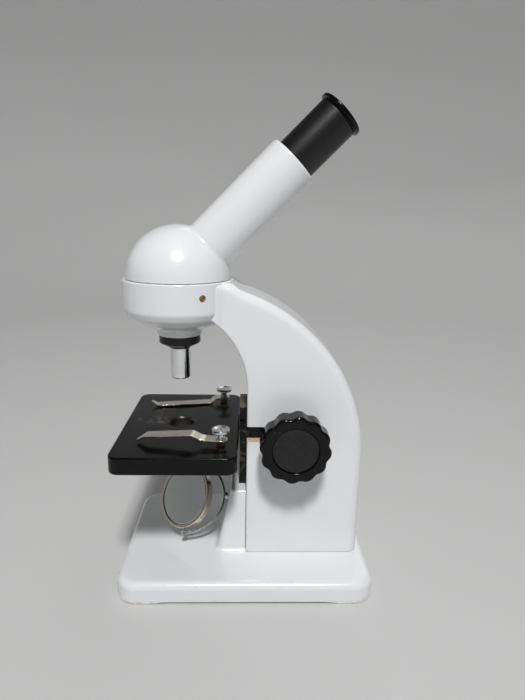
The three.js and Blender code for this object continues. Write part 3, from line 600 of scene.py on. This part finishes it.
def arm():
    body = arm_body()
    boolean(body, slab("slot", (-20, 34), (-ARM_SLOT, ARM_SLOT), (0, ARM_SLOT_TOP)))
    shell = fillet([(COLLAR_BORE, COLLAR_BOTTOM), (COLLAR_R, COLLAR_BOTTOM), (COLLAR_R, 142.1),
                    (14.5, 142.65), (20, 144.6), (25.3, 147.1), (28.5, 150),
                    (RING_R, RING_BOTTOM), (RING_R, RING_TOP),
                    (RING_BORE, RING_TOP), (RING_BORE, RING_SEAT)] + BOWL,
                   [0.2, 0.6, 0.5, 4, 20, 10, 5, 5, 0.8, 0.3, 0.5, 0.5, 0.5, 0.3], 6, closed=True)
    boolean(body, lathe("ring", shell, 144, OPTIC), "UNION")
    cavity = [(0, 130), (COLLAR_BORE, 130)] + BOWL[::-1]
    cavity += [(RING_BORE, RING_SEAT), (RING_BORE, 200), (0, 200)]
    boolean(body, lathe("cavity", cavity, 144, OPTIC))
    for sign in (-1, 1):
        z = (SHAFT_Z - NOTCH_HALF, SHAFT_Z + NOTCH_HALF)
        y = (ARM_SLOT - 2, ARM_HALF + 2) if sign > 0 else (-ARM_HALF - 2, 2 - ARM_SLOT)
        boolean(body, slab("notch", (-5, SHAFT_X), y, z))
        out = move(SHAFT_X, sign * (ARM_SLOT - 2), SHAFT_Z) @ turn(-90 * sign, "X")
        boolean(body, rod("notch_end", NOTCH_HALF, 0, 10, out, 48))
    for angle in HEAD_SCREW_ANGLES:
        out = move(OPTIC_X, 0, HEAD_SCREW_Z) @ turn(angle, "Z") @ turn(90, "Y")
        boolean(body, rod("hole", 1.8, RING_BORE - 2, RING_R + 2, out, 40))
    lip = SHAFT_Z - NOTCH_HALF
    piece(body, "arm", ENAMEL, PRIMER)
    for face in body.data.polygons:
        flat = face.normal.z > 0.9 and abs(face.center.z / MM - lip) < 0.2
        face.material_index = int(flat and 0 < face.center.x / MM < SHAFT_X)


def set_screws():
    """Slotted brass grub screws in the ring."""
    for index, angle in enumerate(HEAD_SCREW_ANGLES, 1):
        out = move(OPTIC_X, 0, HEAD_SCREW_Z) @ turn(angle, "Z") @ turn(90, "Y")
        body = rod("screw", 1.5, 25.2, 30.6, out, 40, 0.25)
        slot = slab("slot", (-0.22, 0.22), (-3, 3), (29.9, 32))
        slot.data.transform(out @ turn(35, "Z"))
        piece(boolean(body, slot), f"head_set_screw_{index}", BRASS)


# ---- head, draw tube and eyepiece ----------------------------------------------------------------

def head():
    """Dome and tube are one body turned about the tube's axis, then cut off level at the ring."""
    cove = 2.4
    meet = math.sqrt((DOME_R + cove) ** 2 - (TUBE_R + cove) ** 2)
    tangent = math.atan2(TUBE_R + cove, meet)
    dome = [(DOME_R * math.sin(a), DOME_R * math.cos(a)) for a in np.linspace(math.pi, tangent, 60)]
    turns = np.linspace(math.pi + math.atan2(meet, TUBE_R + cove), math.pi, 9)[1:]
    neck = [(TUBE_R + cove + cove * math.cos(a), meet + cove * math.sin(a)) for a in turns]
    start = TUBE_END - 5
    end = fillet([(TUBE_R, start), (TUBE_R, TUBE_END), (TUBE_BORE, TUBE_END), (TUBE_BORE, start)],
                 [0, 1.5, 0.5, 0], 6)
    inner = DOME_R - DOME_WALL
    reach = math.asin(TUBE_BORE / inner)
    hollow = [(inner * math.sin(a), inner * math.cos(a)) for a in np.linspace(reach, math.pi, 30)]
    dome[0] = (0, -DOME_R)
    hollow[-1] = (0, -inner)
    stations = [(TUBE_R, z) for z in (32, 50, 68)]
    body = lathe("head", dome + neck + stations + [tuple(p) for p in end] + hollow, 128, INCLINED)
    below = slab("below", (OPTIC_X - 60, OPTIC_X + 60), (-60, 60), (100, HEAD_Z))
    boolean(body, below)
    spigot = fillet([(23, 156), (26, 156), (26, 160.7), (24.8, 160.7), (24.8, 164.3), (26, 164.3),
                     (26, HEAD_Z),
                     (27.9, HEAD_Z), (27.9, HEAD_Z + 1), (23, HEAD_Z + 1)], 0.15, 2, closed=True)
    boolean(body, lathe("spigot", spigot, 128, OPTIC), "UNION")
    return piece(body, "head", ENAMEL)


def draw_tube():
    section = fillet([(DRAW_BORE, DRAW_START), (DRAW_R, DRAW_START), (DRAW_R, DRAW_END),
                      (DRAW_BORE, DRAW_END)],
                     0.3, 4, closed=True)
    piece(lathe("draw", section, 128, INCLINED), "draw_tube", ANODISED)


def eyepiece():
    """A barrel with a rounded eye flange, a step inside it and a groove beneath it."""
    seat, top, flange, barrel, bore, eye = DRAW_END + GAP, 120.3, 13.1, 9.9, 8.7, 6.5
    section = fillet([(bore, 92), (barrel, 92), (barrel, seat), (11.7, seat), (11.7, seat + 0.45),
                      (flange, seat + 0.75),
                      (flange, top), (9.6, top), (8.9, top - 0.5), (eye, top - 1.3), (eye, top - 2),
                      (bore, top - 2)],
                     [0.2, 0.2, 0.1, 0.15, 0.1, 0.4, 0.95, 0.5, 0.3, 0.3, 0.1, 0.1], 6, closed=True)
    piece(lathe("eyepiece", section, 128, INCLINED), "eyepiece", MOULDING)
    lens = fillet([(0, 113.4), (5, 114), (8.4, 115.6), (8.4, 118), (0, 118)], [0, 10, 0.2, 0.2, 0], 8)
    piece(lathe("eye_lens", lens, 96, INCLINED), "eye_lens", GLASS)


# ---- objective -----------------------------------------------------------------------------------

def objective():
    seat = COLLAR_BOTTOM - GAP
    adapter = fillet([(4.2, 131.2), (6.05, 131.2), (7.8, 132.2), (11.45, 134.1), (11.45, seat), (8.5, seat),
                      (8.5, 146), (4.2, 146)], [0.2, 0.3, 0.5, 0.6, 0.3, 0.2, 0.3, 0.3], 5, closed=True)
    piece(lathe("adapter", adapter, 112, OPTIC), "objective_adapter", ANODISED)
    barrel = fillet([(2.6, 113.3), (5.1, 113.3), (5.75, 114.0), (5.75, 130.9), (3.9, 130.9), (3.9, 140),
                     (2.8, 140), (2.8, 120), (3.6, 120), (3.6, 115), (2.6, 115)], 0.2, 4, closed=True)
    piece(lathe("barrel", barrel, 112, OPTIC), "objective_barrel", CHROME)
    lens = fillet([(0, 115.3), (3.3, 115.5), (3.3, 117.4), (0, 118)], [0, 0.2, 0.2, 0], 4)
    piece(lathe("front_lens", lens, 64, OPTIC), "objective_lens", GLASS)


# ---- stage, clips, carriage ----------------------------------------------------------------------

def stage():
    x0, x1, half = STAGE_LOW[0], STAGE_HIGH[0], STAGE_HIGH[1]
    low, top, corner, flat = STAGE_LOW[2], STAGE_HIGH[2], 6.0, 12.0
    section = fillet([(flat, low), (0, low), (0, top), (flat, top)], [0, 0.4, 0.95, 0], 7)
    loops = []
    for inset, z in section:
        r = max(corner - inset, 0.6)
        plan = rectangle(x0 + inset, x1 - inset, -half + inset, half - inset, [r] * 4, 10, 8)
        loops.append(np.column_stack([plan, np.full(len(plan), z)]))
    body = loft("stage", loops)
    hole = fillet([(0, low - 2), (7.2, low - 2), (7.2, top - 0.9), (8.1, top), (8.1, top + 2), (0, top + 2)],
                  [0, 0, 0.5, 0.4, 0, 0], 4)
    boolean(body, lathe("light", hole, 96, OPTIC))
    piece(body, "stage", BLACK, hole_rim())
    for face in body.data.polygons:
        r = math.hypot(face.center.x / MM - OPTIC_X, face.center.y / MM)
        face.material_index = int(r < 8.05)


def hole_rim():
    """Thin, browned paint down the light hole."""
    f = Finish("browned_edge", (0.012, 0.008, 0.0065), 0.3)
    f.tint(f.band(f.noise(2, 4), 0.45, 0.65), (0.03, 0.016, 0.011)).bump(f.noise(0.8, 3), 0.01)
    return f.done()


def clip(side, sign):
    """A spring strip with a round eye, smooth bends and a narrow tip."""
    path = fillet(CLIP_PATH[side], [0, 0, 4.5, 4.5, 3, 0] if side == "near" else [0, 2.6, 2.6, 2.4, 0], 9)
    steps = np.concatenate([[0], np.cumsum(np.linalg.norm(np.diff(path, axis=0), axis=1))])
    length = CLIP_PATH[side][-1][0]
    eye = np.concatenate([np.linspace(-CLIP_EYE + 0.01, 2, 22), np.linspace(2.5, 6, 6)])
    rest = np.linspace(6.4, length - 0.02, 110)
    loops = []
    for distance in np.concatenate([eye, rest]):
        s = np.interp(distance, path[:, 0], steps)
        point = np.array([np.interp(s, steps, path[:, k]) for k in (0, 1)])
        ahead = np.array([np.interp(s + 0.15, steps, path[:, k]) for k in (0, 1)])
        behind = np.array([np.interp(s - 0.15, steps, path[:, k]) for k in (0, 1)])
        along = (ahead - behind) / np.linalg.norm(ahead - behind)
        up = np.array([-along[1], along[0]])
        half = CLIP_HALF
        if distance < 0:
            half = math.sqrt(max(CLIP_EYE ** 2 - distance ** 2, 0.02))
        elif distance < 2:
            half = CLIP_EYE + (CLIP_HALF - CLIP_EYE) * distance / 2
        left = (length - distance) / CLIP_TAPER
        if left < 1:
            half = CLIP_TIP + (CLIP_HALF - CLIP_TIP) * left
            half *= math.sqrt(min(1.0, (length - distance + 0.05) / 0.8))
        h, e = CLIP_THICK / 2, min(0.16, half * 0.4)
        outline = fillet([(-half, -h), (half, -h), (half, h), (-half, h)], e, 3, closed=True)
        loops.append([(-(point[0] + up[0] * v), u, point[1] + up[1] * v) for u, v in outline])
    place = move(CLIP_X[side], sign * CLIP_Y, CLIP_Z) @ turn(CLIP_TURN[side], "Z")
    body = loft("clip", loops, place)
    boolean(body, rod("eye", 1.6, -5, 5, place, 48))
    piece(body, f"stage_clip_{side}", NICKEL)


def clip_fittings(side, sign):
    place = move(CLIP_X[side], sign * CLIP_Y, 0)
    low = STAGE_HIGH[2] + GAP
    post = fillet([(1.6, low), (2.3, low), (2.3, POST_TOP), (1.6, POST_TOP)], 0.15, 3, closed=True)
    piece(lathe("post", post, 64, place), f"clip_post_{side}", COPPER)
    washer, under, top, head_r, neck = CLIP_Z + CLIP_THICK / 2 + GAP, 93.4, 95.4, 4.8, 2.0
    screw = fillet([(0, 79), (1.3, 79), (1.3, washer), (neck + 0.7, washer), (neck + 0.7, washer + 0.6),
                    (neck, washer + 1), (neck, under), (head_r, under), (head_r, top), (head_r - 1, top),
                    (2.2, top - 0.35), (0.9, top - 0.4), (0.5, top - 0.75), (0, top - 0.75)],
                   [0, 0.3, 0.1, 0.25, 0.25, 0.2, 0.3, 0.4, 0.45, 0.4, 0.6, 0.2, 0.1, 0], 5)
    piece(lathe("screw", screw, 144, place, knurl=(48, 0.16, under + 0.35, top - 0.4)),
          f"clip_screw_{side}", CHROME)


def carriage_and_guide():
    body = bevelled_copy("carriage", 0.5)
    top = box_mm("carriage")[1][2]
    piece(body, "carriage", BLACK, CASTING)
    for face in body.data.polygons:
        face.material_index = int(face.normal.z > 0.9 and face.center.z / MM > top - 0.3)
    piece(bevelled_copy("slide_guide", 0.45), "slide_guide", BLACK)


# ---- focus knobs ---------------------------------------------------------------------------------

def knob(side, sign):
    """Soft lobes that fade out towards the hub and the sunk front face."""
    section = fillet([(3, HUB_START), (HUB_R, HUB_START), (HUB_R, 29.4), (11, KNOB_IN),
                      (KNOB_R, KNOB_IN), (KNOB_R, KNOB_OUT - 0.2),
                      (15.6, KNOB_OUT), (CAP_R + GAP, KNOB_OUT), (CAP_R + GAP, KNOB_OUT - 1.6),
                      (3, KNOB_OUT - 1.6)],
                     [0, 0.5, 1.2, 2, 2.4, 3.4, 2.5, 0.5, 0.2, 0], 8)
    segments = KNOB_LOBES * 16
    angles = np.arange(segments) * 2 * np.pi / segments
    wave = (0.5 - 0.5 * np.cos(angles * KNOB_LOBES)) ** 1.4
    angles = angles + KNOB_PHASE
    loops = []
    for r, z in section:
        share = np.clip((r - 13.2) / (KNOB_R - 13.2), 0, 1) ** 1.3
        reach = r - KNOB_DEPTH * share * wave
        loops.append(np.column_stack([reach * np.cos(angles), reach * np.sin(angles), np.full(segments, z)]))
    out = move(SHAFT_X, 0, SHAFT_Z) @ turn(-90 * sign, "X")
    body = loft("knob", loops, out)
    boolean(body, rod("bore", 2.8, 18, 36.3, out, 48))
    boolean(body, rod("grub", 1.8, 2, 12, out @ move(0, 0, GRUB_Z) @ turn(90, "Y"), 32))
    piece(body, f"focus_knob_{side}", MOULDING)
    face = fillet([(0, KNOB_OUT - 1.3), (CAP_R, KNOB_OUT - 1.3), (CAP_R, KNOB_OUT - 0.45),
                   (CAP_R - 1.5, KNOB_OUT - 0.4), (0, KNOB_OUT - 0.4)], [0, 0.1, 0.35, 1, 0], 4)
    piece(lathe("cap", face, 128, out), f"knob_cap_{side}", GRAIN)


# ---- mirror --------------------------------------------------------------------------------------

def mirror():
    h = MIRROR_DEPTH / 2
    seat = MIRROR_GLASS + GAP
    bezel = fillet([(MIRROR_GLASS - 0.9, -h), (MIRROR_RIM, -h), (MIRROR_RIM, h), (seat, h), (seat, 1 - h),
                    (MIRROR_GLASS - 0.9, 1 - h)], [0.2, 0.6, 0.55, 0.3, 0.1, 0.1], 6, closed=True)
    rim = lathe("rim", bezel, 144, TILTED)
    boolean(rim, rod("pivots", PIVOT_R + GAP, -MIRROR_RIM - 2, MIRROR_RIM + 2, TILTED @ turn(-90, "X"), 32))
    piece(rim, "mirror_rim", RIM_NICKEL)
    glass = fillet([(0, 0.1), (MIRROR_GLASS, 0.1), (MIRROR_GLASS, h - 0.3), (0, h - 0.3)],
                   [0, 0.1, 0.4, 0], 4)
    piece(lathe("glass", glass, 144, TILTED), "mirror_glass", SILVER)
    back = fillet([(0, 1.3 - h), (MIRROR_GLASS, 1.3 - h), (MIRROR_GLASS, -0.2), (0, -0.2)],
                  [0, 0.2, 0.2, 0], 3)
    piece(lathe("back", back, 96, TILTED), "mirror_back", ANODISED)


def fork():
    """A flat strip bent to half an ellipse, with a turned pin behind it."""
    overrun, half = 4 * DEG, FORK_THICK / 2
    wide = FORK_WIDTH / 2
    outline = fillet([(-half, -wide), (half, -wide), (half, wide), (-half, wide)], 0.3, 4, closed=True)
    loops = []
    for angle in np.linspace(-math.pi / 2 - overrun, math.pi / 2 + overrun, 73):
        loops.append([((FORK_REACH - half + u) * math.cos(angle), (FORK_R - half + u) * math.sin(angle), v)
                      for u, v in outline])
    body = loft("fork", loops, SWIVEL)
    pin = rod("pin", PIN_R, FORK_REACH - 0.5, PIN_END, SWIVEL @ turn(90, "Y"), 48, 0.4)
    boolean(body, pin, "UNION")
    boolean(body, rod("holes", PIVOT_R + GAP, -40, 40, SWIVEL @ turn(-90, "X"), 32))
    piece(body, "mirror_fork", CHROME)
    for side, sign in SIDES:
        out = SWIVEL @ turn(-90 * sign, "X")
        screw = fillet([(0, MIRROR_RIM - 1.2), (1, MIRROR_RIM - 1.2), (1, FORK_R + GAP), (1.7, FORK_R + GAP),
                        (1.7, FORK_R + 0.9), (0, FORK_R + 0.9)], [0, 0.2, 0, 0.15, 0.35, 0], 4)
        piece(lathe("pivot", screw, 48, out), f"mirror_pivot_{side}", CHROME)


# ---- setting -------------------------------------------------------------------------------------

def camera():
    data = bpy.data.cameras.new("camera")
    data.sensor_width = 36
    data.lens = 27.051
    data.clip_start = 0.01
    made = bpy.data.objects.new("camera", data)
    pitch, yaw, roll = 14.56 * DEG, 1.69 * DEG, 1.04 * DEG
    ahead = Vector((math.sin(yaw) * math.cos(pitch), math.cos(yaw) * math.cos(pitch), -math.sin(pitch)))
    level = Vector((math.cos(yaw), -math.sin(yaw), 0))
    above = level.cross(ahead)
    right = level * math.cos(roll) + above * math.sin(roll)
    up = above * math.cos(roll) - level * math.sin(roll)
    turned = Matrix((right, up, -ahead)).transposed()
    made.matrix_world = Matrix.Translation((-0.00017, -0.28895, 0.20451)) @ turned.to_4x4()
    bpy.context.scene.collection.objects.link(made)
    bpy.context.scene.camera = made


def aim(azimuth, elevation):
    """Away from the object. Azimuth 0 is in front of it and 90 to its right."""
    a, e = azimuth * DEG, elevation * DEG
    return Vector((math.sin(a) * math.cos(e), -math.cos(a) * math.cos(e), math.sin(e)))


def area_light(name, azimuth, elevation, distance, size, power, colour=(1, 1, 1)):
    """A square light aimed at the object."""
    data = bpy.data.lights.new(name, "AREA")
    data.size, data.energy, data.color = size, power, colour
    made = bpy.data.objects.new(name, data)
    away = aim(azimuth, elevation)
    made.location = Vector((0, 0, 0.12)) + away * distance
    made.rotation_euler = away.to_track_quat("Z", "Y").to_euler()
    bpy.context.scene.collection.objects.link(made)


def key_light(azimuth, elevation, strength, spread):
    data = bpy.data.lights.new("key", "SUN")
    data.energy, data.angle = strength, spread * DEG
    made = bpy.data.objects.new("key", data)
    made.rotation_euler = aim(azimuth, elevation).to_track_quat("Z", "Y").to_euler()
    bpy.context.scene.collection.objects.link(made)


def setting():
    flat, bend, top, thick, albedo = 900, 800, 1400, 15, 0.6
    curve = [(flat + bend * math.sin(a), bend * (1 - math.cos(a))) for a in np.linspace(0.1, math.pi / 2, 14)]
    face = [(0, 0), (flat, 0)] + curve + [(flat + bend, top)]
    under = [(r + thick if r else 0, z - thick) for r, z in face[::-1]]
    ground = lathe("floor", face + under, 96)
    f = Finish("floor_paper", (albedo, albedo, albedo * 0.99), 0.8)
    f.bump(f.noise(1.5, 3), 0.02)
    ground.data.materials.append(f.done())
    ground.data.shade_smooth()
    world = bpy.data.worlds.new("studio")
    world.use_nodes = True
    world.node_tree.nodes["Background"].inputs[0].default_value = (0.93, 0.96, 1.0, 1)
    world.node_tree.nodes["Background"].inputs[1].default_value = 0.07
    bpy.context.scene.world = world
    key_light(3, 52, 0.85, 6.5)
    area_light("near_key", 3, 52, 1.1, 0.12, 7.7)
    area_light("overhead", 20, 80, 1.3, 1.0, 0.6)
    area_light("side", -115, 30, 1.3, 0.8, 0.4)
    area_light("back", 160, 40, 1.3, 0.8, 1.6)
    bpy.context.scene.view_settings.view_transform = "Standard"


camera()
setting()
base()
arm()
set_screws()
head()
draw_tube()
eyepiece()
objective()
stage()
for side, sign in SIDES:
    clip(side, sign)
    clip_fittings(side, sign)
    knob(side, sign)
carriage_and_guide()
mirror()
fork()
for name, carried in frame["nodes"].items():
    if not carried.hide_render:
        carried.data.materials.clear()
        carried.data.materials.append(CARRIED[SLOT_OF[name]])
